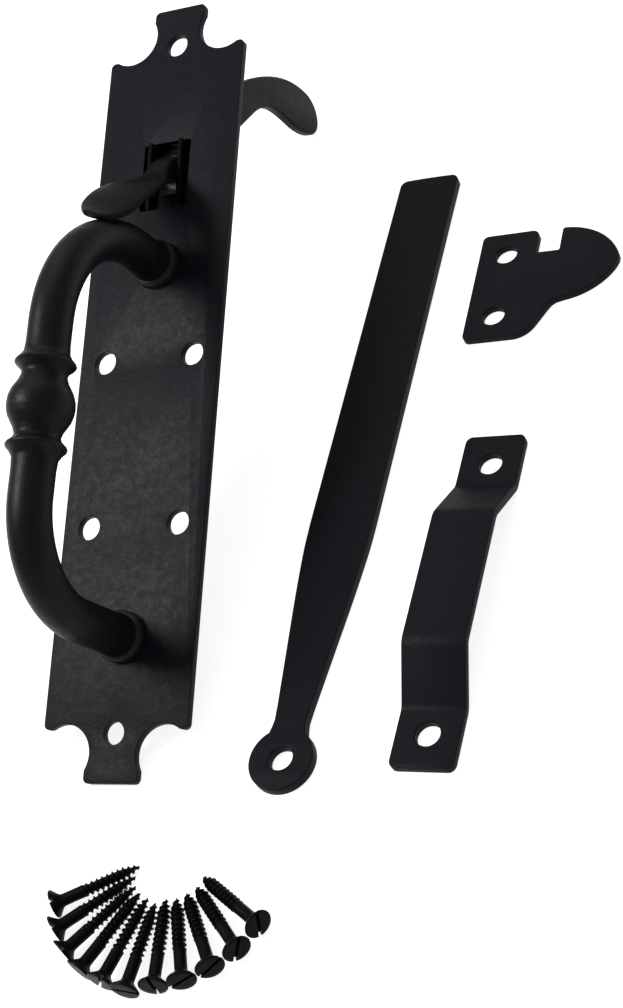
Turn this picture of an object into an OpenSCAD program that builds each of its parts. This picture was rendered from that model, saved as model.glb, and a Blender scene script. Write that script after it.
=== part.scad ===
// Thumb latch set for a gate: handle plate with pull handle and thumb lever,
// latch bar, bar keeper, catch and eleven wood screws, laid out on a table.
// Millimetres. X runs across the set, Y along the plates, Z up from the table.
// The handle plate stands on its bottom edge and on the tail of its lever.

/* [Handle plate] */
// Length over both end tongues
plate_l = 300; // [280:1:320]
// Width of the plate
plate_w = 59.2; // [54:0.2:64]
// Thickness of the plate
plate_t = 3; // [2.5:0.1:3.5]
// Width of the end tongues
tongue_w = 22.2; // [20:0.2:26]
// Radius of the round bites beside each tongue
bite_r = 10.7; // [9:0.1:11]
// Angle at which the plate lies, from the table
plate_tilt = 20.3; // [20:0.1:21]
// Diameter of the screw holes
hole_d = 8.8; // [8:0.1:9.5]

/* [Pull handle] */
// Distance between the two feet
feet_apart = 141; // [135:1:147]
// Diameter of the round rod
rod_d = 15.2; // [13:0.1:16]
// Height of the grip's axis over the foot rings
grip_h = 57.6; // [54:0.1:62]
// Angle by which the grip leans out towards its lower end
grip_tilt = 0.9; // [0:0.1:2]
// Radius of the upper bend
upper_bend = 45.8; // [38:0.2:48]
// Radius of the lower bend
lower_bend = 34.4; // [26:0.2:36]
// Diameter of the ball in the middle of the grip
ball_d = 23.2; // [20:0.2:26]
// Diameter of the collars beside the ball
collar_d = 21; // [18:0.2:22]

/* [Thumb lever] */
// Width of the thumb pad
pad_w = 22.4; // [20:0.2:28]
// Width of the neck in the slot
neck_w = 11; // [9:0.2:11]
// Thickness of the tail blade
blade_t = 4.4; // [3.5:0.1:6]
// Depth of the tail blade
blade_d = 14.4; // [12:0.2:15]
// Diameter of the pivot pin
pin_d = 5; // [4:0.1:6]

/* [Latch bar] */
// Length from the end to the middle of the eye
bar_l = 268.7; // [240:0.1:280]
// Width of the bar
bar_w = 25.4; // [22:0.1:28]
// Thickness of the bar
bar_t = 4; // [3:0.1:5]
// Diameter of the eye
eye_d = 23.6; // [20:0.2:25]

/* [Keeper] */
// Length over both feet
keeper_l = 133.4; // [125:0.2:140]
// Width of the strap
keeper_w = 23; // [20:0.2:24]
// Thickness of the strap
keeper_t = 3; // [2.5:0.1:3.5]
// Height of the raised middle's upper face
keeper_h = 14.6; // [12:0.1:16]
// Distance between the keeper's two holes
keeper_holes = 108.4; // [105:0.2:110]

/* [Catch] */
// Height of the catch's mounting flange
catch_h = 53.3; // [50:0.1:56]
// Thickness of the catch
catch_t = 3.2; // [2.5:0.1:4]
// Distance between the catch's two holes
catch_holes = 31.2; // [29:0.2:32]
// Width of the notch that holds the bar
notch_w = 9.5; // [8:0.1:10]

/* [Screws] */
// Overall length of a screw
screw_l = 31.8; // [28:0.1:34]
// Diameter of a screw's head
head_d = 9.8; // [9:0.1:9.9]
// Diameter over the thread
thread_d = 4.6; // [4:0.1:4.7]

/* [Hidden] */
$fn = 64;
graphite = "#3a3c42";
satin_black = "#26262a";
worn_steel = "#6b6259";

// Places on the table, before the set is centred on the origin
bar_x = 64.9;
bar_turn = -0.35;
eye_y = 8.4;
keeper_x = 117.1;
keeper_y = 71.9;
keeper_turn = -1.5;
catch_x = 96.6;
catch_y = 185.7;
catch_nose = 57.1;
fan_x = 31.5;
fan_y = -24.6;
fan_r = 49.5;
fan_step = 11.7;
fan_first = 30.9;
screw_head_h = 3.3;
screw_lean = 6;
screw_rim = 0.7;
// How far each screw is pushed in from the fan's rim, and how its slot is turned
fan_push = [6.2, 3.6, 1.8, 0.9, 0.6, -0.6, 0.6, 0, 0, -0.2, 0.8];
slot_turn = [15, 20, 25, 160, 30, 100, 5, 74, 72, 40, 27];

// Plate coordinates: x across, y from the bottom tongue's end, z out of the front
upper_foot_y = 192.4;
lower_foot_y = upper_foot_y - feet_apart;
end_hole_low = 17.6;
end_hole_high = plate_l - 16.2;
end_hole_d = hole_d - 0.6;
ring_h = 4;
tenon_r = 4.5;
slot_w = 20;
slot_low = 215.6;
slot_high = 242.8;
pivot_y = 237;
pivot_z = -6.5;
bracket_t = 1.8;
ear_gap = neck_w + 0.4;
ear_back = -17;
blade_rise = 47;
tip_r = 6;
tip_y = 305.2;
tip_z = -(tip_y * sin(plate_tilt) - tip_r) / cos(plate_tilt);
pad_slope = 44;
pad_twist = 12;
pad_root = [10.4, 225.7];

// The set's extent, which puts its middle over the origin
kit_right = catch_x + catch_nose;
kit_left = -plate_w / 2;
kit_front = fan_y - (fan_r - fan_push[5]) * sin(fan_first + 5 * fan_step)
    - head_d / 2 * sin(screw_lean);
kit_back = 313.2 * cos(plate_tilt) + 107.5 * sin(plate_tilt);
kit_x = (kit_left + kit_right) / 2;
kit_y = (kit_front + kit_back) / 2;

module on_table() {
    translate([-kit_x, -kit_y, 0]) children();
}

module on_plate() {
    on_table() rotate([plate_tilt, 0, 0]) children();
}

// Extrudes a profile drawn in (z, y) across the plate, centred on x = 0
module across(width) {
    rotate([0, -90, 0]) translate([0, 0, -width / 2]) linear_extrude(width) children();
}

// ---- Handle plate ----

module plate_holes() {
    translate([0, end_hole_low]) circle(d = end_hole_d);
    for (p = [[0, end_hole_high], [-18.7, 92.3], [18.7, 92.3], [-18.7, 155.8], [18.7, 155.8]])
        translate([p[0], p[1]]) circle(d = hole_d);
    for (y = [upper_foot_y, lower_foot_y])
        translate([0, y]) circle(r = tenon_r + 0.05);
    translate([-slot_w / 2, slot_low]) square([slot_w, slot_high - slot_low]);
}

module plate_outline() {
    bite_x = plate_w / 2 - 9.3;
    bite_y = 10.1;
    shoulder = 18.8;
    corner = 2;
    difference() {
        union() {
            translate([-plate_w / 2, shoulder + corner])
                square([plate_w, plate_l - 2 * shoulder - 2 * corner]);
            translate([-plate_w / 2 + corner, shoulder])
                square([plate_w - 2 * corner, plate_l - 2 * shoulder]);
            for (x = [-1, 1], y = [shoulder + corner, plate_l - shoulder - corner])
                translate([x * (plate_w / 2 - corner), y]) circle(r = corner);
            translate([-tongue_w / 2, corner]) square([tongue_w, plate_l - 2 * corner]);
            translate([-tongue_w / 2 + corner, 0]) square([tongue_w - 2 * corner, plate_l]);
            for (x = [-1, 1], y = [corner, plate_l - corner])
                translate([x * (tongue_w / 2 - corner), y]) circle(r = corner);
        }
        for (x = [-1, 1], y = [bite_y, plate_l - bite_y])
            translate([x * bite_x, y]) circle(r = bite_r);
    }
}

module backplate() {
    color(graphite) on_plate() linear_extrude(plate_t) difference() {
        plate_outline();
        plate_holes();
    }
}

// ---- Pull handle: a bent round rod with a ball between two collars ----

// The handle's own frame: its middle over the feet, leaning by the grip's angle
module on_arch() {
    on_plate() translate([0, 121.8, plate_t + ring_h]) rotate([-grip_tilt, 0, 0]) children();
}

// A quarter bend from a leg, starting towards +y and turning up to the grip
module quarter_bend(radius) {
    rotate([0, 90, 0]) rotate([0, 0, 90]) rotate_extrude(angle = 90)
        translate([radius, 0]) circle(d = rod_d);
}

module collar(y) {
    half = 2.6;
    translate([0, y - half, grip_h]) rotate([-90, 0, 0]) {
        cylinder(d1 = rod_d - 0.4, d2 = collar_d, h = half);
        translate([0, 0, half]) cylinder(d1 = collar_d, d2 = rod_d - 0.4, h = half);
    }
}

// A foot: a short boss on the ring and a tenon through the plate, headed over behind
module foot(y) {
    boss_h = 2.2;
    on_plate() translate([0, y, 0]) {
        translate([0, 0, plate_t + ring_h]) cylinder(d = rod_d + 0.8, h = boss_h);
        translate([0, 0, -1.6]) cylinder(r = tenon_r, h = plate_t + ring_h + 1.7);
        translate([0, 0, -1.6]) cylinder(r1 = tenon_r, r2 = tenon_r + 1.8, h = 1.6);
    }
}

module leg(y, from_z, to_z) {
    translate([0, y, from_z]) cylinder(d = rod_d, h = to_z - from_z);
}

module pull_handle() {
    half = feet_apart / 2;
    ball_y = -5.5;
    color(satin_black) {
        foot(upper_foot_y);
        foot(lower_foot_y);
        on_arch() {
            leg(half, 2.3, grip_h - upper_bend);
            leg(-half, 0.2, grip_h - lower_bend);
            translate([0, half - upper_bend, grip_h - upper_bend]) quarter_bend(upper_bend);
            translate([0, lower_bend - half, grip_h - lower_bend])
                mirror([0, 1, 0]) quarter_bend(lower_bend);
            translate([0, lower_bend - half, grip_h]) rotate([-90, 0, 0])
                cylinder(d = rod_d, h = feet_apart - upper_bend - lower_bend);
            translate([0, ball_y, grip_h]) sphere(d = ball_d);
            collar(ball_y + 14.7);
            collar(ball_y - 14.5);
        }
    }
}

module foot_ring(y) {
    ring_r = 9.4;
    chamfer = 1.2;
    color(worn_steel) on_plate() translate([0, y, plate_t]) difference() {
        union() {
            cylinder(r = ring_r, h = ring_h - chamfer);
            translate([0, 0, ring_h - chamfer]) cylinder(r1 = ring_r, r2 = ring_r - chamfer, h = chamfer);
        }
        translate([0, 0, -1]) cylinder(r = tenon_r + 0.05, h = ring_h + 2);
    }
}

module upper_foot_ring() foot_ring(upper_foot_y);
module lower_foot_ring() foot_ring(lower_foot_y);

// ---- Thumb lever, its bracket and pin ----

module ear_profile() {
    polygon([[plate_t + 0.3, slot_low + 0.4], [plate_t + 2, slot_high - 5],
        [plate_t + 2, slot_high - 0.2], [0, slot_high - 0.2], [0, slot_high + 4.4],
        [-4.4, slot_high + 6], [ear_back, slot_high + 6], [ear_back, pivot_y - 10],
        [-10, slot_low + 0.4]]);
}

// Two ears joined by a web under the neck; feet and tabs lie behind the plate
module pivot_bracket() {
    ear = ear_gap / 2;
    foot_w = 9;
    blade_gap = blade_t / 2 + 0.5;
    color(satin_black) on_plate() difference() {
        union() {
            for (side = [-1, 1]) {
                translate([side * (ear + bracket_t / 2), 0, 0]) across(bracket_t) ear_profile();
                translate([side > 0 ? ear : -ear - bracket_t - foot_w, slot_low + 0.4, -3])
                    cube([bracket_t + foot_w, slot_high - slot_low + 4, 3]);
                translate([side > 0 ? blade_gap : -ear - 0.5, slot_high + 1, -4.4])
                    cube([ear - blade_gap + 0.5, 3.6, 4.4]);
            }
            translate([-ear - 0.5, slot_low + 0.4, -10]) cube([ear_gap + 1, 6.4, 10.4]);
        }
        translate([0, pivot_y, pivot_z]) rotate([0, 90, 0])
            cylinder(d = pin_d + 0.04, h = 60, center = true);
    }
}

module pivot_pin() {
    pin_l = ear_gap + 2 * bracket_t + 2.4;
    color(worn_steel) on_plate() translate([0, pivot_y, pivot_z]) rotate([0, 90, 0])
        cylinder(d = pin_d, h = pin_l, center = true);
}

// The tail's outline in (z, y): a straight rise, a bend, and a blunt end with a round tip
module tail_profile() {
    hub = [pivot_z, pivot_y];
    side = blade_d / 2 * [sin(blade_rise), cos(blade_rise)];
    outer = [-98, 249];
    outer_r = 66;
    inner = [-79.6, 263.6];
    inner_r = 31;
    polygon(concat([hub + side],
        [for (i = [0 : 8]) outer + outer_r * [cos(43 + 6 * i), sin(43 + 6 * i)]],
        [[-107.5, 313.2], [tip_z - 4.2, tip_y + 4.3], [tip_z + 2.3, tip_y - 5.54], [-96, 295]],
        [for (i = [0 : 4]) inner + inner_r * [cos(93 - 12.5 * i), sin(93 - 12.5 * i)]],
        [hub - side]));
    translate([tip_z, tip_y]) circle(r = tip_r);
}

// The neck from the side, in (z, y)
module neck_profile() {
    polygon([[-9, 241.5], [-3, 240.6], [3.5, 236.4], [12, 228.4], [17, 224.4], [17.4, 219.4], [12, 219.6],
        [6, 221], [2.4, 222.9], [-4, 224.6], [-8, 231]]);
}

// The pad from the side, in (z, y)
module pad_profile() {
    polygon([[9, 227.8], [14.9, 224.4], [19.2, 221.4], [23.3, 218.3], [27.3, 215], [31.1, 211.5],
        [34.7, 207.8], [38.1, 203.8], [41.2, 199.7], [45.1, 197.3], [49.2, 194.7], [46.9, 192.5],
        [42.4, 195], [38.8, 197.9], [35.7, 201.5], [32.3, 205.2], [28.8, 208.6], [25, 211.7],
        [21.2, 214.6], [17.3, 217.3], [13, 219.6], [8, 221.4]]);
}

// The pad square on, with y running along it from its root
module pad_outline() {
    half = pad_w / 2;
    full_to = 28.9;
    round_l = 21;
    polygon(concat([[-neck_w / 2, -3], [neck_w / 2, -3], [7.4, 2], [half - 0.6, 11], [half, 16]],
        [for (i = [0 : 16]) [half * cos(11.25 * i), full_to + round_l * sin(11.25 * i)]],
        [[-half, 16], [-half + 0.6, 11], [-7.4, 2]]));
}

// Turns the pad about its length
module pad_turned() {
    lean = pad_slope - 90;
    translate([0, pad_root[1], pad_root[0]]) rotate([lean, 0, 0]) rotate([0, pad_twist, 0])
        rotate([-lean, 0, 0]) translate([0, -pad_root[1], -pad_root[0]]) children();
}

module thumb_lever() {
    color(satin_black) on_plate() difference() {
        union() {
            across(blade_t) tail_profile();
            translate([0, pivot_y, pivot_z]) rotate([0, 90, 0])
                cylinder(r = blade_d / 2 - 0.6, h = neck_w, center = true);
            across(neck_w) neck_profile();
            pad_turned() intersection() {
                across(pad_w + 2) pad_profile();
                translate([0, pad_root[1], pad_root[0]]) rotate([90 + pad_slope, 0, 0])
                    translate([0, 0, -30]) linear_extrude(60) pad_outline();
            }
        }
        translate([0, pivot_y, pivot_z]) rotate([0, 90, 0])
            cylinder(d = pin_d + 0.1, h = 60, center = true);
    }
}

// ---- Latch bar ----

module latch_bar() {
    taper_from = 91;
    neck_from = 12;
    neck_half = 5.8;
    corner = 3.5;
    color(satin_black) on_table() translate([bar_x, eye_y, 0]) rotate([0, 0, bar_turn]) difference() {
        linear_extrude(bar_t) {
            circle(d = eye_d);
            translate([-bar_w / 2, taper_from]) square([bar_w, bar_l - taper_from - corner]);
            translate([-bar_w / 2 + corner, taper_from]) square([bar_w - 2 * corner, bar_l - taper_from]);
            for (x = [-1, 1])
                translate([x * (bar_w / 2 - corner), bar_l - corner]) circle(r = corner);
            polygon([[-neck_half, 0], [neck_half, 0], [neck_half, neck_from],
                [bar_w / 2 - 1.2, taper_from - 18], [bar_w / 2, taper_from], [-bar_w / 2, taper_from],
                [-bar_w / 2 + 1.2, taper_from - 18], [-neck_half, neck_from]]);
        }
        translate([0, 0, -1]) cylinder(d = hole_d, h = bar_t + 2);
    }
}

// ---- Keeper: a strap with two feet and a raised middle ----

// One half of the strap's side view in (y, z), along the upper face and back along the lower
function keeper_half(flat_y = 25.5, foot_y = 44, round_y = 4) = [
    [flat_y - round_y, keeper_h], [flat_y + 1, keeper_h - 1.1], [foot_y - 3, keeper_t + 1],
    [foot_y + round_y, keeper_t], [keeper_l / 2, keeper_t], [keeper_l / 2, 0], [foot_y + 1, 0],
    [foot_y - 5, 1.1], [flat_y - 1, keeper_h - keeper_t - 1],
    [flat_y - round_y - 1, keeper_h - keeper_t]];

module keeper_profile() {
    half = keeper_half();
    last = len(half) - 1;
    polygon(concat(half, [for (i = [0 : last]) [-half[last - i][0], half[last - i][1]]]));
}

module keeper_outline() {
    corner = 3;
    half_l = keeper_l / 2;
    half_w = keeper_w / 2;
    translate([-half_w, -half_l + corner]) square([keeper_w, keeper_l - 2 * corner]);
    translate([-half_w + corner, -half_l]) square([keeper_w - 2 * corner, keeper_l]);
    for (x = [-1, 1], y = [-1, 1])
        translate([x * (half_w - corner), y * (half_l - corner)]) circle(r = corner);
}

module keeper() {
    color(satin_black) on_table() translate([keeper_x, keeper_y, 0]) rotate([0, 0, keeper_turn])
        difference() {
            intersection() {
                rotate([90, 0, 90]) translate([0, 0, -keeper_w]) linear_extrude(2 * keeper_w)
                    keeper_profile();
                linear_extrude(keeper_h + 1) keeper_outline();
            }
            for (side = [-1, 1])
                translate([0, side * keeper_holes / 2, -1]) cylinder(d = hole_d, h = keeper_t + 2);
        }
}

// ---- Catch: a flange with a notched nose ----

module catch_outline() {
    notch_x = 23.2;
    notch_floor = catch_h - 12;
    corner = 2.5;
    low_r = 9.9;
    difference() {
        union() {
            translate([0, corner]) square([notch_x, catch_h - 2 * corner]);
            translate([corner, 0]) square([notch_x - 2 * corner - 2, catch_h]);
            for (p = [[corner, corner], [corner, catch_h - corner], [notch_x - corner, catch_h - corner]])
                translate(p) circle(r = corner);
            translate([19, 0.2 + low_r]) circle(r = low_r);
            polygon([[12, 5], [27.6, 5.3], [32.7, 15.2], [34.4, 16.6], [38, 17.6], [38, 41], [20, 41],
                [12, 20]]);
            intersection() {
                translate([32.2, 26.4]) circle(r = 26.4);
                translate([33.7, 42.1]) circle(r = 25.2);
                translate([20, 10]) square([catch_nose - 20, 50]);
            }
        }
        translate([notch_x, notch_floor]) square([notch_w, 20]);
    }
}

module catch() {
    color(satin_black) on_table() translate([catch_x, catch_y, 0]) linear_extrude(catch_t) difference() {
        catch_outline();
        for (y = [-1, 1])
            translate([11.1, 26.6 + y * catch_holes / 2]) circle(d = hole_d);
    }
}

// ---- Wood screws: slotted, countersunk, half plain and half threaded ----

module screw_solid() {
    shank_d = 4.2;
    root_d = 3.2;
    thread_from = 12;
    pitch = 1.9;
    point_l = 7;
    ridges = floor((screw_l - thread_from - point_l) / pitch);
    difference() {
        union() {
            cylinder(d = head_d, h = screw_rim);
            translate([0, 0, screw_rim])
                cylinder(d1 = head_d, d2 = shank_d, h = screw_head_h - screw_rim);
            cylinder(d = shank_d, h = thread_from);
            cylinder(d = root_d, h = screw_l - point_l);
            translate([0, 0, screw_l - point_l]) cylinder(d1 = root_d, d2 = 0.4, h = point_l);
            for (i = [0 : ridges - 1])
                translate([0, 0, thread_from + i * pitch]) {
                    cylinder(d1 = root_d - 0.2, d2 = thread_d, h = pitch / 2);
                    translate([0, 0, pitch / 2]) cylinder(d1 = thread_d, d2 = root_d - 0.2, h = pitch / 2);
                }
            for (i = [0 : 2])
                translate([0, 0, screw_l - point_l + i * pitch * 0.9]) {
                    cylinder(d1 = 1.6 - 0.4 * i, d2 = thread_d - 1 - i, h = 0.7);
                    translate([0, 0, 0.7]) cylinder(d1 = thread_d - 1 - i, d2 = 1.2 - 0.4 * i, h = 0.7);
                }
        }
        translate([-head_d, -0.6, -1]) cube([2 * head_d, 1.2, 2.3]);
    }
}

// Screw number i of the fan, lying on its head's rim and on its thread
module fan_screw(i) {
    way = fan_first + fan_step * (i - 1);
    reach = fan_r - fan_push[i - 1];
    lie_h = head_d / 2 * cos(screw_lean) + screw_rim * sin(screw_lean);
    color(satin_black) on_table() translate([fan_x - reach * cos(way), fan_y - reach * sin(way), lie_h])
        rotate([0, 0, way]) rotate([0, 90 + screw_lean, 0]) rotate([0, 0, slot_turn[i - 1]])
            screw_solid();
}

backplate();
pull_handle();
upper_foot_ring();
lower_foot_ring();
pivot_bracket();
pivot_pin();
thumb_lever();
latch_bar();
keeper();
catch();
fan_screw(1);  // screw_01
fan_screw(2);  // screw_02
fan_screw(3);  // screw_03
fan_screw(4);  // screw_04
fan_screw(5);  // screw_05
fan_screw(6);  // screw_06
fan_screw(7);  // screw_07
fan_screw(8);  // screw_08
fan_screw(9);  // screw_09
fan_screw(10);  // screw_10
fan_screw(11);  // screw_11
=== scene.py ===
import math

import bmesh
import bpy
import numpy as np
from mathutils import Matrix, Vector


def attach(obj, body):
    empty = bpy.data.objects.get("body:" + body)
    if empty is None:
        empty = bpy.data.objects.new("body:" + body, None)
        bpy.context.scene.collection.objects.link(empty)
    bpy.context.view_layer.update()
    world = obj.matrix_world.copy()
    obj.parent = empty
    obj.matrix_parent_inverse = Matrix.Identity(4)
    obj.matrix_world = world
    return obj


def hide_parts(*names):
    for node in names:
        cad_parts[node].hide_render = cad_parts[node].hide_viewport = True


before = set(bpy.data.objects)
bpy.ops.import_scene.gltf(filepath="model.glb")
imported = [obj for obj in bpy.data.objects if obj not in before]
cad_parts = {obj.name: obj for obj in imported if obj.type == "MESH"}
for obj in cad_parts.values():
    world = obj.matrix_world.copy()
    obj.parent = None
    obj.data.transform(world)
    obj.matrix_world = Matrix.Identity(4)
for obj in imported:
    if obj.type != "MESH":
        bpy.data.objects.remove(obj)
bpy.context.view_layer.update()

# ---- Places: millimetres in part coordinates, turned into metres in the row frame ----

TILT = math.radians(20.3)
CT, ST = math.cos(TILT), math.sin(TILT)
KIT_X, KIT_Y = 62.05, 127.9165
PLATE_L, PLATE_W, PLATE_T = 300.0, 59.2, 3.0
PIVOT_Y, PIVOT_Z = 237.0, -6.5


def tab(p):
    """Points (x, y, z) on the table, mm, to the row frame, m."""
    p = np.atleast_2d(np.asarray(p, float))
    return (p - [KIT_X, KIT_Y, 0]) / 1000


def pl(p):
    """Points (x, y, z) of the handle plate, mm, to the row frame, m."""
    p = np.atleast_2d(np.asarray(p, float))
    return tab(np.c_[p[:, 0], p[:, 1] * CT - p[:, 2] * ST, p[:, 1] * ST + p[:, 2] * CT])


def arc(cx, cy, r, a0, a1, n):
    a = np.radians(np.linspace(a0, a1, n))
    return np.c_[cx + r * np.cos(a), cy + r * np.sin(a)]


def circle(cx, cy, r, n=48):
    return arc(cx, cy, r, 0, 360, n + 1)[:-1]


def smooth_line(points, per=8):
    """A Catmull-Rom line through points."""
    p = np.asarray(points, float)
    p = np.vstack([2 * p[0] - p[1], p, 2 * p[-1] - p[-2]])
    out = []
    for i in range(1, len(p) - 2):
        for t in np.linspace(0, 1, per, endpoint=False):
            out.append(0.5 * (2 * p[i] + (p[i + 1] - p[i - 1]) * t
                       + (2 * p[i - 1] - 5 * p[i] + 4 * p[i + 1] - p[i + 2]) * t * t
                       + (3 * p[i] - p[i - 1] - 3 * p[i + 1] + p[i + 2]) * t ** 3))
    out.append(p[-2])
    return np.array(out)


# ---- Mesh makers: each returns (points, faces) in its own millimetres ----

def slab(loops, thickness, bevel, steps=3):
    """A flat piece cut to loops (outline first, then holes), with rounded edges. z is 0 to thickness."""
    data = bpy.data.curves.new("slab", "CURVE")
    data.dimensions = "2D"
    data.fill_mode = "BOTH"
    data.extrude = thickness / 2 - bevel
    data.bevel_depth = bevel
    data.bevel_resolution = steps
    data.offset = -bevel
    for loop in loops:
        spline = data.splines.new("POLY")
        spline.points.add(len(loop) - 1)
        for point, (x, y) in zip(spline.points, loop):
            point.co = (x, y, 0, 1)
        spline.use_cyclic_u = True
    ob = bpy.data.objects.new("slab", data)
    bpy.context.scene.collection.objects.link(ob)
    mesh = bpy.data.meshes.new_from_object(ob.evaluated_get(bpy.context.evaluated_depsgraph_get()))
    bpy.data.objects.remove(ob)
    pts = np.array([v.co for v in mesh.vertices], float)
    faces = [tuple(f.vertices) for f in mesh.polygons]
    bpy.data.meshes.remove(mesh)
    pts[:, 2] += thickness / 2
    return pts, faces


def loft(sections, closed=True):
    """Joins closed loops of equal length, with a face at each end."""
    n = len(sections[0])
    pts = np.vstack(sections)
    faces = []
    for i in range(len(sections) - 1):
        for j in range(n):
            k = (j + 1) % n
            faces.append((i * n + j, i * n + k, (i + 1) * n + k, (i + 1) * n + j))
    if closed:
        faces.append(tuple(range(n))[::-1])
        last = (len(sections) - 1) * n
        faces.append(tuple(last + j for j in range(n)))
    return pts, faces


def lathe(profile, n=48):
    """Turns (radius, height) points about z."""
    a = np.linspace(0, 2 * math.pi, n, endpoint=False)
    return loft([np.c_[r * np.cos(a), r * np.sin(a), np.full(n, h)] for r, h in profile])


def along_x(pts):
    """A slab drawn in (z, y) becomes a plate piece centred on x = 0 (its thickness runs along x)."""
    mid = (pts[:, 2].max() + pts[:, 2].min()) / 2
    return np.c_[pts[:, 2] - mid, pts[:, 1], pts[:, 0]]


def join(*parts):
    pts, faces, at = [], [], 0
    for p, f in parts:
        pts.append(p)
        faces += [tuple(i + at for i in face) for face in f]
        at += len(p)
    return np.vstack(pts), faces


def cut(part, *tools):
    """Takes closed tools away from a closed part."""
    def build(p, f):
        mesh = bpy.data.meshes.new("cut")
        mesh.from_pydata([tuple(v) for v in p], [], f)
        bm = bmesh.new()
        bm.from_mesh(mesh)
        bmesh.ops.recalc_face_normals(bm, faces=bm.faces)
        bm.to_mesh(mesh)
        bm.free()
        ob = bpy.data.objects.new("cut", mesh)
        bpy.context.scene.collection.objects.link(ob)
        return ob
    base = build(*part)
    others = [build(*t) for t in tools]
    for t in others:
        m = base.modifiers.new("cut", "BOOLEAN")
        m.operation = "DIFFERENCE"
        m.solver = "EXACT"
        m.object = t
    mesh = bpy.data.meshes.new_from_object(base.evaluated_get(bpy.context.evaluated_depsgraph_get()))
    pts = np.array([v.co for v in mesh.vertices], float)
    faces = [tuple(f.vertices) for f in mesh.polygons]
    for ob in [base] + others:
        bpy.data.objects.remove(ob)
    bpy.data.meshes.remove(mesh)
    return pts, faces


def piece(name, part, place, material, body, sharp=35):
    """Puts a finished mesh in the scene in place of its CAD node."""
    pts, faces = part
    mesh = bpy.data.meshes.new(name + "_look")
    mesh.from_pydata([tuple(v) for v in place(pts)], [], faces)
    bm = bmesh.new()
    bm.from_mesh(mesh)
    bmesh.ops.remove_doubles(bm, verts=bm.verts, dist=1e-6)
    bmesh.ops.recalc_face_normals(bm, faces=bm.faces)
    bm.to_mesh(mesh)
    bm.free()
    mesh.shade_smooth()
    mesh.set_sharp_from_angle(angle=math.radians(sharp))
    mesh.materials.append(material)
    ob = bpy.data.objects.new(name + "_look", mesh)
    bpy.context.scene.collection.objects.link(ob)
    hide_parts(name)
    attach(ob, body)
    return ob


# ---- Materials ----

class Nodes:
    """Small helper for building one material's node tree."""

    def __init__(self, name):
        self.mat = bpy.data.materials.new(name)
        self.mat.use_nodes = True
        self.tree = self.mat.node_tree
        self.shader = self.tree.nodes["Principled BSDF"]
        self.coord = self.tree.nodes.new("ShaderNodeTexCoord")

    def new(self, kind, inputs=None, **props):
        node = self.tree.nodes.new(kind)
        for key, value in props.items():
            setattr(node, key, value)
        for key, value in (inputs or {}).items():
            if isinstance(value, bpy.types.NodeSocket):
                self.tree.links.new(value, node.inputs[key])
            else:
                node.inputs[key].default_value = value
        return node

    def noise(self, scale, detail=3.0, rough=0.55, where=None):
        return self.new("ShaderNodeTexNoise", {"Vector": where or self.coord.outputs["Object"],
                        "Scale": scale, "Detail": detail, "Roughness": rough}).outputs["Fac"]

    def ramp(self, fac, stops):
        node = self.new("ShaderNodeValToRGB", {"Fac": fac})
        while len(node.color_ramp.elements) < len(stops):
            node.color_ramp.elements.new(0.5)
        for element, (pos, color) in zip(node.color_ramp.elements, stops):
            element.position = pos
            element.color = (*color, 1) if len(color) == 3 else color
        return node.outputs["Color"]

    def mix(self, fac, a, b, mode="MIX"):
        node = self.new("ShaderNodeMix", {"Factor": fac}, data_type="RGBA", blend_type=mode)
        for socket, value in ((node.inputs[6], a), (node.inputs[7], b)):
            if isinstance(value, bpy.types.NodeSocket):
                self.tree.links.new(value, socket)
            else:
                socket.default_value = (*value, 1)
        return node.outputs[2]

    def math(self, op, a, b=0.0, c=0.0):
        node = self.new("ShaderNodeMath", operation=op)
        for i, value in enumerate((a, b, c)):
            if isinstance(value, bpy.types.NodeSocket):
                self.tree.links.new(value, node.inputs[i])
            else:
                node.inputs[i].default_value = value
        return node.outputs[0]

    def link(self, value, socket):
        self.tree.links.new(value, self.shader.inputs[socket])

    def bump(self, height, strength, distance, onto=None):
        inputs = {"Height": height, "Strength": strength, "Distance": distance}
        if onto is not None:
            inputs["Normal"] = onto
        return self.new("ShaderNodeBump", inputs).outputs["Normal"]


def grey(v, tint=(1, 1, 1)):
    return tuple(v * t for t in tint)


def coat(name, dark, light, rough, gloss=0.14, grain=900.0, grain_bump=0.12, speck=0.0,
         tint=(1, 1, 1.06), edge=0.0, patch=14.0):
    """Black powder coat: soft patches, fine grain, lighter specks and rubbed edges."""
    n = Nodes(name)
    patches = n.noise(patch, 4, 0.6)
    fine = n.noise(grain, 2, 0.6)
    spots = n.noise(grain * 0.45, 3, 0.75)
    base = n.ramp(patches, [(0.35, grey(dark, tint)), (0.68, grey(light, tint))])
    base = n.mix(0.5, base, n.ramp(fine, [(0.3, grey(dark * 0.6, tint)), (0.75, grey(light * 1.3, tint))]))
    if speck:
        mask = n.ramp(spots, [(0.6, (0, 0, 0)), (0.72, (1, 1, 1))])
        base = n.mix(n.math("MULTIPLY", mask, speck), base, grey(light * 2.6, tint))
    if edge:
        geo = n.new("ShaderNodeNewGeometry").outputs["Pointiness"]
        worn = n.ramp(geo, [(0.5, (0, 0, 0)), (0.58, (1, 1, 1))])
        worn = n.math("MULTIPLY", worn, n.math("MULTIPLY", n.noise(60, 4, 0.7), edge))
        base = n.mix(worn, base, grey(light * 3.2, (1, 0.97, 0.93)))
    n.link(base, "Base Color")
    n.link(n.new("ShaderNodeMapRange", {"Value": spots, "From Min": 0.3, "From Max": 0.7,
           "To Min": rough - 0.07, "To Max": rough + 0.08}).outputs["Result"], "Roughness")
    n.shader.inputs["Specular IOR Level"].default_value = gloss
    waves = n.bump(n.noise(55, 2, 0.5), 0.18, 0.0006)
    n.link(n.bump(fine, grain_bump, 0.0002, waves), "Normal")
    return n


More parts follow.
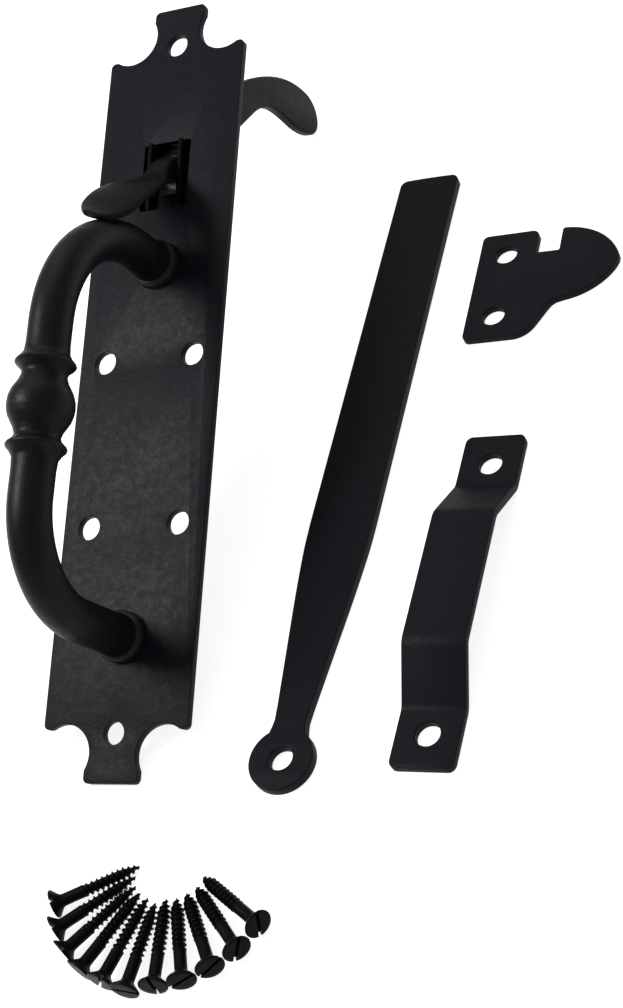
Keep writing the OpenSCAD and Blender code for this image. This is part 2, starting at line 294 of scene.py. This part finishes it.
plate_coat = coat("graphite_powder_coat", 0.003, 0.0055, 0.44, gloss=0.065, grain=750, grain_bump=0.4,
                  speck=0.4, tint=(0.92, 0.94, 1.6), edge=0.5, patch=22)
handle_coat = coat("handle_coat", 0.0025, 0.0045, 0.42, gloss=0.1, grain=1100, grain_bump=0.35, speck=0.25,
                   tint=(0.95, 0.93, 1.5), edge=0.4)
flat_coat = coat("bar_coat", 0.003, 0.0042, 0.5, gloss=0.065, grain=1300, grain_bump=0.2, speck=0.12,
                 tint=(0.97, 0.93, 1.7), edge=0.55, patch=10)
screw_coat = coat("screw_coat", 0.0015, 0.0032, 0.33, gloss=0.04, grain=1500, grain_bump=0.2, speck=0.15,
                  tint=(1, 1, 1), edge=0.5, patch=120)
tail_coat = coat("lever_coat", 0.002, 0.0038, 0.45, gloss=0.045, grain=1100, grain_bump=0.25, speck=0.12,
                 tint=(1, 0.98, 1.35), edge=0.4)


def browned(name):
    """Black coat rubbed through to brown in places."""
    n = coat(name, 0.004, 0.007, 0.4, grain=1000, grain_bump=0.3, speck=0.2, edge=0.6)
    base = n.shader.inputs["Base Color"].links[0].from_socket
    rub = n.ramp(n.noise(130, 4, 0.7), [(0.5, (0, 0, 0)), (0.66, (1, 1, 1))])
    n.link(n.mix(n.math("MULTIPLY", rub, 0.5), base, (0.022, 0.011, 0.006)), "Base Color")
    return n


ring_coat = browned("browned_black")
# Bracket and pivot pin: a brown tint for the rusty steel, plus painted shade. The coat is made much darker
# and less glossy than the other coats so it reads as the shade inside the slot.
bracket_rust_and_shade_coat = coat("bracket_rust_and_shade_coat", 0.0014, 0.003, 0.5, gloss=0.018, grain=1300, grain_bump=0.2, speck=0.12,
                    tint=(1.6, 1.1, 0.8))

# ---- Handle plate ----


def both_ways(right):
    """A right-hand half outline (going up) and its mirror image (coming down)."""
    left = right[::-1].copy()
    left[:, 0] *= -1
    return np.vstack([right, left])


def plate_outline():
    bite_x, bite_y, r, half, edge = PLATE_W / 2 - 9.3, 10.1, 10.7, 11.1, 18.8
    lower = np.vstack([arc(half - 2, 2, 2, -90, 0, 7), arc(bite_x, bite_y, r, 210.7, 56, 32),
                       arc(PLATE_W / 2 - 2, edge + 2, 2, -92, 0, 7)])
    upper = lower[::-1].copy()
    upper[:, 1] = PLATE_L - upper[:, 1]
    return both_ways(np.vstack([lower, upper]))


def soft_rect(x0, y0, x1, y1, r):
    return np.vstack([arc(x1 - r, y0 + r, r, -90, 0, 5), arc(x1 - r, y1 - r, r, 0, 90, 5),
                      arc(x0 + r, y1 - r, r, 90, 180, 5), arc(x0 + r, y0 + r, r, 180, 270, 5)])


HOLES = [(0, 17.6, 4.1), (0, 283.8, 4.4), (-18.7, 92.3, 4.4), (18.7, 92.3, 4.4), (-18.7, 155.8, 4.4),
         (18.7, 155.8, 4.4)]
plate = slab([plate_outline(), soft_rect(-10, 215.6, 10, 242.8, 0.8)]
             + [circle(x, y, r) for x, y, r in HOLES], PLATE_T, 0.3)
piece("backplate", plate, pl, plate_coat.mat, "handle_plate", 12)

# ---- Pull handle: one rod swept along its bends, with a turned ball and collars ----

GRIP_H, R_UP, R_LOW, ROD = 57.6, 45.8, 34.4, 7.6
FOOT_UP, FOOT_LOW, HALF, BALL_Y = 192.4, 51.4, 70.5, -5.5
LEAN_GRIP = math.radians(0.9)
SG, CG = math.sin(LEAN_GRIP), math.cos(LEAN_GRIP)


def grip_radius(d):
    """Radius of the turned part at a distance d above the ball's middle."""
    stops = [(-22, 7.6), (-18.3, 7.9), (-16.4, 9.0), (-15.0, 10.3), (-14.5, 10.5), (-13.9, 10.2),
             (-12.4, 8.6),
             (-11.0, 7.9), (-10.0, 7.95), (-9.2, 8.3), (-8.2, 8.6), (-6.5, 9.6), (-4.5, 10.7), (-2.2, 11.4),
             (0, 11.6), (2.2, 11.4), (4.5, 10.7), (6.5, 9.6), (8.2, 8.6), (9.2, 8.3), (10.0, 7.9),
             (11.4, 7.8),
             (12.8, 8.5), (14.1, 10.1), (14.7, 10.5), (15.3, 10.3), (16.7, 9.0), (18.6, 7.9), (22, 7.6)]
    d0, r0 = zip(*stops)
    return float(np.interp(d, d0, r0))


def rod_section(y, z, angle, r, n=32):
    """A ring whose normal points at angle from +z towards +y."""
    a = np.linspace(0, 2 * math.pi, n, endpoint=False)
    ca, sa = math.cos(angle), math.sin(angle)
    return np.c_[r * np.cos(a), y + r * np.sin(a) * ca, z - r * np.sin(a) * sa]




def arch_section(y, z, angle, r):
    """A ring of the bent rod, in the handle's own leaning frame."""
    return rod_section(121.8 + y * CG + z * SG, 7 - y * SG + z * CG, angle + LEAN_GRIP, r)


rings = [rod_section(FOOT_UP, z, 0, r) for z, r in
         ((-1.6, 6.2), (-1.5, 6.3), (0, 4.5), (6.9, 4.5), (7.0, 7.9), (7.3, 8.0), (8.6, 7.95))]
rings += [arch_section(HALF, z, 0, ROD) for z in (3.6, 7, 11)]
for a in np.linspace(0, math.pi / 2, 30):
    rings.append(arch_section(HALF - R_UP + R_UP * math.cos(a), GRIP_H - R_UP + R_UP * math.sin(a), -a, ROD))
for d in np.arange(23.5, -24, -0.55):
    rings.append(arch_section(BALL_Y + d, GRIP_H, -math.pi / 2, grip_radius(d)))
for a in np.linspace(math.pi / 2, 0, 26):
    rings.append(arch_section(R_LOW - HALF - R_LOW * math.cos(a), GRIP_H - R_LOW + R_LOW * math.sin(a),
                              a - math.pi, ROD))
rings += [arch_section(-HALF, z, -math.pi, ROD) for z in (20, 12, 6, 1.6)]
rings += [rod_section(FOOT_LOW, z, -math.pi, r) for z, r in
          ((8.6, 7.95), (7.3, 8.0), (7.0, 7.9), (6.9, 4.5), (0, 4.5), (-1.5, 6.3), (-1.6, 6.2))]
piece("pull_handle", loft(rings), pl, handle_coat.mat, "handle_plate", 50)

for name, y in (("upper_foot_ring", FOOT_UP), ("lower_foot_ring", FOOT_LOW)):
    ring = lathe([(7.3, 3.05), (9.1, 3.05), (9.4, 3.3), (9.4, 5.6), (9.25, 5.9), (8.5, 6.7), (8.2, 6.95),
                  (7.9, 7.0), (7.3, 7.0)])
    piece(name, ring, lambda p, y=y: pl(p + [0, y, 0]), ring_coat.mat, "handle_plate")

# ---- Bracket, pin and thumb lever ----

EAR_IN, EAR_T, SLOT_LOW, SLOT_HIGH = 5.7, 1.8, 215.6, 242.8
ear_line = np.array([(3.3, SLOT_LOW + 0.4), (5, SLOT_HIGH - 5), (5, SLOT_HIGH - 0.2), (0, SLOT_HIGH - 0.2),
                     (0, SLOT_HIGH + 4.4), (-4.4, SLOT_HIGH + 6), (-17, SLOT_HIGH + 6), (-17, PIVOT_Y - 10),
                     (-10, SLOT_LOW + 0.4)])[::-1]


def ear(side):
    pts, faces = slab([ear_line, circle(PIVOT_Z, PIVOT_Y, 2.52, 32)], EAR_T, 0.3)
    pts = along_x(pts)
    pts[:, 0] += side * (EAR_IN + EAR_T / 2)
    return pts, faces


def block(x0, x1, y0, y1, z0, z1, r=0.4):
    pts, faces = slab([soft_rect(x0, y0, x1, y1, r)], z1 - z0, r)
    pts[:, 2] += z0
    return pts, faces


bracket = join(ear(-1), ear(1),
               block(-EAR_IN - 0.6, EAR_IN + 0.6, SLOT_LOW + 0.4, SLOT_LOW + 6.8, -10, 0.4),
               block(EAR_IN, EAR_IN + 10.8, SLOT_LOW + 0.4, SLOT_HIGH + 4.4, -3, 0),
               block(-EAR_IN - 10.8, -EAR_IN, SLOT_LOW + 0.4, SLOT_HIGH + 4.4, -3, 0),
               block(2.7, EAR_IN + 0.5, SLOT_HIGH + 1, SLOT_HIGH + 4.6, -4.4, 0),
               block(-EAR_IN - 0.5, -2.7, SLOT_HIGH + 1, SLOT_HIGH + 4.6, -4.4, 0))
piece("pivot_bracket", bracket, pl, bracket_rust_and_shade_coat.mat, "handle_plate", 25)

pin = lathe([(1.9, -8.7), (2.5, -8.1), (2.5, 8.1), (1.9, 8.7)], 32)
piece("pivot_pin", pin, lambda p: pl(np.c_[p[:, 2], p[:, 1] + PIVOT_Y, p[:, 0] + PIVOT_Z]), bracket_rust_and_shade_coat.mat,
      "handle_plate")

tail_upper = np.array([(-1.3, 241.9), (-9, 252.5), (-20, 264.9), (-40, 286.4), (-49, 295.3), (-57, 300.9),
                       (-66, 306.0), (-76, 310.5), (-86, 313.6), (-96, 315.0), (-103, 314.8),
                       (-108.4, 312.6),
                       (-111.6, 309.2), (-112.7, 305.2)])
tail_lower = np.array([(-112.0, 302.2), (-109.2, 299.4), (-104.5, 297.3), (-98, 295.7), (-92, 295.1),
                       (-84, 295.0),
                       (-75, 294.3), (-67, 291.9), (-60, 287.3), (-54, 281.0), (-40, 265.6), (-20, 244.2),
                       (-11.7, 232.2)])


def eased(loop, step=1.5, passes=4):
    """A closed loop sampled evenly, with its kinks smoothed out."""
    p = np.vstack([loop, loop[:1]])
    s = np.r_[0, np.cumsum(np.hypot(*np.diff(p, axis=0).T))]
    t = np.linspace(0, s[-1], int(s[-1] / step), endpoint=False)
    q = np.c_[np.interp(t, s, p[:, 0]), np.interp(t, s, p[:, 1])]
    for _ in range(passes):
        q = (np.roll(q, 1, 0) + 2 * q + np.roll(q, -1, 0)) / 4
    return q


tail_line = eased(smooth_line(np.vstack([tail_upper, tail_lower]), 5))
low = (tail_line[:, 1] * ST + tail_line[:, 0] * CT).min()
tail_line[:, 0] -= np.clip((-60 - tail_line[:, 0]) / 50, 0, 1) * low / CT
tail_pts, tail_faces = slab([tail_line], 4.4, 1.2, 4)
tail = (along_x(tail_pts), tail_faces)

hub_pts, hub_faces = lathe([(5.9, -5.5), (6.5, -4.9), (6.5, 4.9), (5.9, 5.5)], 40)
hub = (np.c_[hub_pts[:, 2], hub_pts[:, 1] + PIVOT_Y, hub_pts[:, 0] + PIVOT_Z], hub_faces)

# Stations along the pad: middle (z, y), half width, thickness, hollow, twist in degrees
STATIONS = np.array([
    (-7.5, 236.0, 5.5, 10.5, 0, 0), (-1.5, 232.2, 5.5, 12.6, 0, 0), (3.0, 229.4, 5.5, 11.4, 0, 0),
    (6.0, 226.6, 5.6, 9.2, 0, 0), (9.0, 223.9, 6.5, 7.0, 0, 1), (13.6, 221.2, 8.8, 5.0, 0.2, 3),
    (18.0, 218.7, 10.5, 4.0, 0.4, 5.5), (22.3, 216.1, 11.2, 3.5, 0.5, 8),
    (26.2, 212.9, 11.3, 3.3, 0.6, 10.5),
    (30.0, 209.6, 11.2, 3.2, 0.6, 12.5), (33.6, 206.0, 10.9, 3.1, 0.5, 14.5),
    (36.9, 202.3, 10.3, 3.0, 0.4, 16.5),
    (40.3, 198.8, 9.0, 2.8, 0.3, 19), (43.7, 195.9, 6.7, 2.6, 0.2, 21), (45.9, 194.6, 4.8, 2.2, 0.1, 22),
    (47.0, 193.6, 2.8, 1.7, 0, 22), (47.5, 193.3, 1.2, 1.1, 0, 22)])


def pad_sections():
    line = smooth_line(STATIONS, 4)
    loops = []
    a = np.linspace(0, 2 * math.pi, 40, endpoint=False)
    ca, sa = np.cos(a), np.sin(a)
    for i, (z, y, w, t, hollow, twist) in enumerate(line):
        d = line[min(i + 1, len(line) - 1)][:2] - line[max(i - 1, 0)][:2]
        d /= np.hypot(*d)
        up = np.array([-d[1], d[0]])
        k = 0.42 if w < 7 else 0.55
        x = w * np.sign(ca) * np.abs(ca) ** k
        h = t / 2 * np.sign(sa) * np.abs(sa) ** 0.6 - hollow * (1 - (x / max(w, 0.1)) ** 2)
        tw = math.radians(twist)
        x2 = x * math.cos(tw) + h * math.sin(tw)
        h2 = -x * math.sin(tw) + h * math.cos(tw)
        loops.append(np.c_[x2, y + h2 * up[1], z + h2 * up[0]])
    return loops


lever = join(tail, hub, loft(pad_sections()))
piece("thumb_lever", lever, pl, tail_coat.mat, "lever", 45)

# ---- Latch bar ----

BAR_L, BAR_W = 268.7, 25.4
eye = 11.8
neck = 5.8
meet = math.degrees(math.asin(neck / eye))
right = np.vstack([arc(0, 0, eye, -90, 90 - meet - 6, 30), [[neck + 0.5, 12.2], [neck + 0.2, 14.5]],
                   smooth_line([(neck + 0.6, 20), (8.4, 40), (10.6, 62), (11.8, 76), (12.45, 86),
                                 (BAR_W / 2, 96)], 4),
                   arc(BAR_W / 2 - 3.2, BAR_L - 3.4, 3.2, 0, 80, 7), [[4, BAR_L - 0.05]]])
bar = slab([both_ways(right), circle(0, 0, 4.4)], 4.0, 0.45)


def turned(p, degrees):
    c, s = math.cos(math.radians(degrees)), math.sin(math.radians(degrees))
    return p @ np.array([[c, s, 0], [-s, c, 0], [0, 0, 1]])


BAR_TURN, BAR_AT = -0.35, [64.9, 8.4, 0]
piece("latch_bar", bar, lambda p: tab(turned(p, BAR_TURN) + BAR_AT), flat_coat.mat,
      "bar", 12)

# ---- Keeper: a strap bent over four times ----

KEEP_W, KEEP_T, KEEP_L, KEEP_H = 23.0, 3.0, 133.4, 14.6


def rounded_path(points, radius, steps):
    pts = [np.array(p, float) for p in points]
    out = [pts[0]]
    for a, b, c in zip(pts, pts[1:], pts[2:]):
        u, v = (a - b) / np.linalg.norm(a - b), (c - b) / np.linalg.norm(c - b)
        half = math.acos(float(np.clip(u @ v, -1, 1))) / 2
        reach = radius / math.tan(half)
        mid = b + (u + v) / np.linalg.norm(u + v) * radius / math.sin(half)
        p, q = b + u * reach, b + v * reach
        a0, a1 = math.atan2(*(p - mid)[::-1]), math.atan2(*(q - mid)[::-1])
        a1 = a0 + (a1 - a0 + math.pi) % (2 * math.pi) - math.pi
        out += [mid + radius * np.array([math.cos(t), math.sin(t)]) for t in np.linspace(a0, a1, steps)]
    out.append(pts[-1])
    return np.array(out)


def keeper_mesh():
    top, low = KEEP_H - KEEP_T / 2, KEEP_T / 2
    line = rounded_path([(-KEEP_L / 2, low), (-44.5, low), (-25.3, top), (25.3, top), (44.5, low),
                         (KEEP_L / 2, low)], 6.5, 9)
    s = np.r_[0, np.cumsum(np.hypot(*np.diff(line, axis=0).T))]
    total = s[-1]
    ends = np.array([0, 0.12, 0.35, 0.7, 1.2, 1.9, 2.8, 4.5, 8, 14, 19])
    where = np.unique(np.round(np.r_[s, ends, total - ends, np.linspace(19, total - 19, 40)], 4))
    loops = []
    for t in where:
        p = np.array([np.interp(t, s, line[:, 0]), np.interp(t, s, line[:, 1])])
        q0 = np.array([np.interp(t - 0.4, s, line[:, 0]), np.interp(t - 0.4, s, line[:, 1])])
        q1 = np.array([np.interp(t + 0.4, s, line[:, 0]), np.interp(t + 0.4, s, line[:, 1])])
        d = (q1 - q0) / np.linalg.norm(q1 - q0)
        up = np.array([-d[1], d[0]])
        e = min(t, total - t)
        w = KEEP_W / 2 - (2.8 - math.sqrt(max(0, 2.8 ** 2 - max(0, 2.8 - e) ** 2)))
        h = KEEP_T / 2 - (0.35 - math.sqrt(max(0, 0.35 ** 2 - max(0, 0.35 - e) ** 2)))
        r = 0.4
        corner = np.vstack([arc(w - r, h - r, r, 0, 90, 4), arc(-w + r, h - r, r, 90, 180, 4),
                            arc(-w + r, -h + r, r, 180, 270, 4), arc(w - r, -h + r, r, 270, 360, 4)])
        loops.append(np.c_[corner[:, 0], p[0] + corner[:, 1] * up[0], p[1] + corner[:, 1] * up[1]])
    tools = []
    for side in (-1, 1):
        pts, faces = lathe([(4.4, -3), (4.4, 2.65), (4.8, 3.02), (4.8, 6)], 48)
        tools.append((pts + [0, side * 54.2, 0], faces))
    return cut(loft(loops), *tools)


KEEPER_TURN, KEEPER_AT = -1.5, [117.1, 71.9, 0]
piece("keeper", keeper_mesh(), lambda p: tab(turned(p, KEEPER_TURN) + KEEPER_AT), flat_coat.mat,
      "keeper_strap",
      25)

# ---- Catch ----



def catch_outline():
    return np.vstack([
        arc(2.4, 2.6, 2.4, 180, 268, 6),
        arc(19, 10.1, 9.9, -92, -30, 12),
        [[29.2, 8.2], [31.8, 13.3], [32.9, 15.1], [34.3, 16.3]],
        arc(33.7, 42.1, 25.2, -81, -30, 18),
        [[56.4, 31.3], [57.0, 33.3], [57.0, 35.2]],
        arc(32.2, 26.4, 26.4, 23, 86.5, 22),
        [[33.1, 52.6], [32.7, 52.0], [32.7, 41.7], [32.3, 41.3], [23.6, 41.3], [23.2, 41.7], [23.2, 49.8]],
        arc(20.3, 50.4, 2.9, 5, 88, 7),
        arc(2.2, 51.1, 2.2, 92, 178, 6)])


catch = slab([catch_outline(), circle(11.1, 11.0, 4.4), circle(11.1, 42.2, 4.4)], 3.2, 0.4)
piece("catch", catch, lambda p: tab(p + [96.6, 185.7, 0]), flat_coat.mat, "catch_plate", 12)

# ---- Wood screws, each with a real helical thread and a cut slot ----

FAN_X, FAN_Y, FAN_R = 31.5, -24.6, 49.5
FAN_PUSH = [6.2, 3.6, 1.8, 0.9, 0.6, -0.6, 0.6, 0, 0, -0.2, 0.8]
SLOT_TURN = [15, 20, 25, 160, 30, 100, 5, 74, 72, 40, 27]
HEAD_R, SCREW_L, LEAN = 4.9, 31.8, math.radians(6)


def screw_mesh():
    pitch, start, point = 1.9, 11.2, 7.0
    crest, root, shank = 2.35, 1.55, 2.1
    n, per = 28, 9
    a = np.arange(n) / n
    profile = np.array([0, 0.06, 0.2, 0.55, 1.0, 0.85, 0.3, 0.08, 0.0])
    loops = []
    for r, h in ((0.3, -0.02), (3.2, -0.02), (4.55, 0.0), (4.8, 0.12), (4.9, 0.35), (4.9, 0.62), (4.75, 0.85),
                 (3.65, 1.75), (2.6, 2.75), (2.25, 3.25), (2.12, 3.8), (2.1, 5.5), (2.1, 8.5),
                 (2.1, start - 0.6)):
        loops.append(np.c_[r * np.cos(2 * np.pi * a), r * np.sin(2 * np.pi * a), np.full(n, h)])
    turns = (SCREW_L - start) / pitch
    for i in range(int(turns * per) + 1):
        z = start + (i / per + a) * pitch - pitch
        z = np.minimum(z, SCREW_L - 0.02 * (len(loops) % 7))
        core = np.where(z < start + 1.5, shank + (root - shank) * np.clip((z - start) / 1.5, 0, 1), root)
        core = core * np.clip((SCREW_L - z) / point, 0.03, 1) ** 0.8
        out = crest * np.clip((SCREW_L + 0.6 - z) / (point * 0.85), 0.05, 1) ** 0.75
        f = profile[i % per] * np.clip((z - start + 1.4) / 2.4, 0, 1)
        r = core + (np.maximum(out, core) - core) * f
        z = np.maximum(z, start - 0.5)
        loops.append(np.c_[r * np.cos(2 * np.pi * a), r * np.sin(2 * np.pi * a), z])
    tip = np.c_[0.03 * np.cos(2 * np.pi * a), 0.03 * np.sin(2 * np.pi * a), np.full(n, SCREW_L)]
    loops.append(tip)
    slot_pts = np.array([(x, y, z) for x in (-7, 7) for y in (-0.6, 0.6) for z in (-2, 1.35)], float)
    slot_faces = [(0, 1, 3, 2), (4, 6, 7, 5), (0, 4, 5, 1), (2, 3, 7, 6), (0, 2, 6, 4), (1, 5, 7, 3)]
    head = loft(loops[:14])
    head = cut(head, (slot_pts, slot_faces))
    return join(head, loft(loops[13:]))


FAN_FIRST, FAN_STEP = 30.9, 11.7
HEAD_RIM = 0.7
screw = screw_mesh()
for i in range(1, 12):
    way = math.radians(FAN_FIRST + FAN_STEP * (i - 1))
    reach = FAN_R - FAN_PUSH[i - 1]
    lie = HEAD_R * math.cos(LEAN) + HEAD_RIM * math.sin(LEAN)
    m = (Matrix.Translation((FAN_X - reach * math.cos(way), FAN_Y - reach * math.sin(way), lie))
         @ Matrix.Rotation(way, 4, "Z") @ Matrix.Rotation(math.pi / 2 + LEAN, 4, "Y")
         @ Matrix.Rotation(math.radians(SLOT_TURN[i - 1]), 4, "Z"))
    m = np.array(m)
    piece("screw_%02d" % i, screw, lambda p, m=m: tab(p @ m[:3, :3].T + m[:3, 3]), screw_coat.mat,
          "screw_body_%02d" % i, 40)

# ---- Floor, light and camera ----

floor_mesh = bpy.data.meshes.new("floor")
floor_mesh.from_pydata([(-6, -6, 0), (6, -6, 0), (6, 6, 0), (-6, 6, 0)], [], [(0, 1, 2, 3)])
floor = bpy.data.objects.new("floor", floor_mesh)
bpy.context.scene.collection.objects.link(floor)
paper = bpy.data.materials.new("paper")
paper.use_nodes = True
sheen = paper.node_tree.nodes["Principled BSDF"]
sheen.inputs["Base Color"].default_value = (0.42, 0.42, 0.42, 1)
sheen.inputs["Roughness"].default_value = 0.9
sheen.inputs["Specular IOR Level"].default_value = 0.1
sheen.inputs["Emission Color"].default_value = (1, 1, 1, 1)
sheen.inputs["Emission Strength"].default_value = 0.85
floor_mesh.materials.append(paper)

world = bpy.data.worlds.new("studio")
bpy.context.scene.world = world
world.use_nodes = True
world.node_tree.nodes["Background"].inputs["Color"].default_value = (1, 1, 1, 1)
world.node_tree.nodes["Background"].inputs["Strength"].default_value = 0.45


def lamp(name, at, aim, size, power):
    data = bpy.data.lights.new(name, "AREA")
    data.shape = "SQUARE"
    data.size = size
    data.energy = power
    ob = bpy.data.objects.new(name, data)
    bpy.context.scene.collection.objects.link(ob)
    ob.location = at
    ob.rotation_euler = (Vector(aim) - Vector(at)).to_track_quat("-Z", "Y").to_euler()
    return ob


lamp("key", (-0.58, -0.12, 0.82), (-0.06, -0.03, 0.03), 0.34, 9)
lamp("fill", (-0.2, 0.9, 1.2), (0, 0, 0), 1.2, 6)

SENSOR_MM, LENS_MM = 24, 43.0071429
camera_data = bpy.data.cameras.new("camera")
camera = bpy.data.objects.new("camera", camera_data)
bpy.context.scene.collection.objects.link(camera)
bpy.context.scene.camera = camera
camera_data.sensor_fit = "VERTICAL"
camera_data.sensor_height = SENSOR_MM
camera_data.lens = LENS_MM
camera_data.clip_start = 0.01
right_v = Vector((0.8922, 0.2147, -0.3974))
up_v = Vector((0.0623, 0.8129, 0.5790))
back_v = right_v.cross(up_v).normalized()
right_v.normalize()
up_v = back_v.cross(right_v).normalized()
turn = Matrix((right_v, up_v, back_v)).transposed().to_4x4()
camera.matrix_world = Matrix.Translation(Vector(tab([(347.06, -244.86, 474.43)])[0])) @ turn
bpy.context.scene.view_settings.view_transform = "Standard"
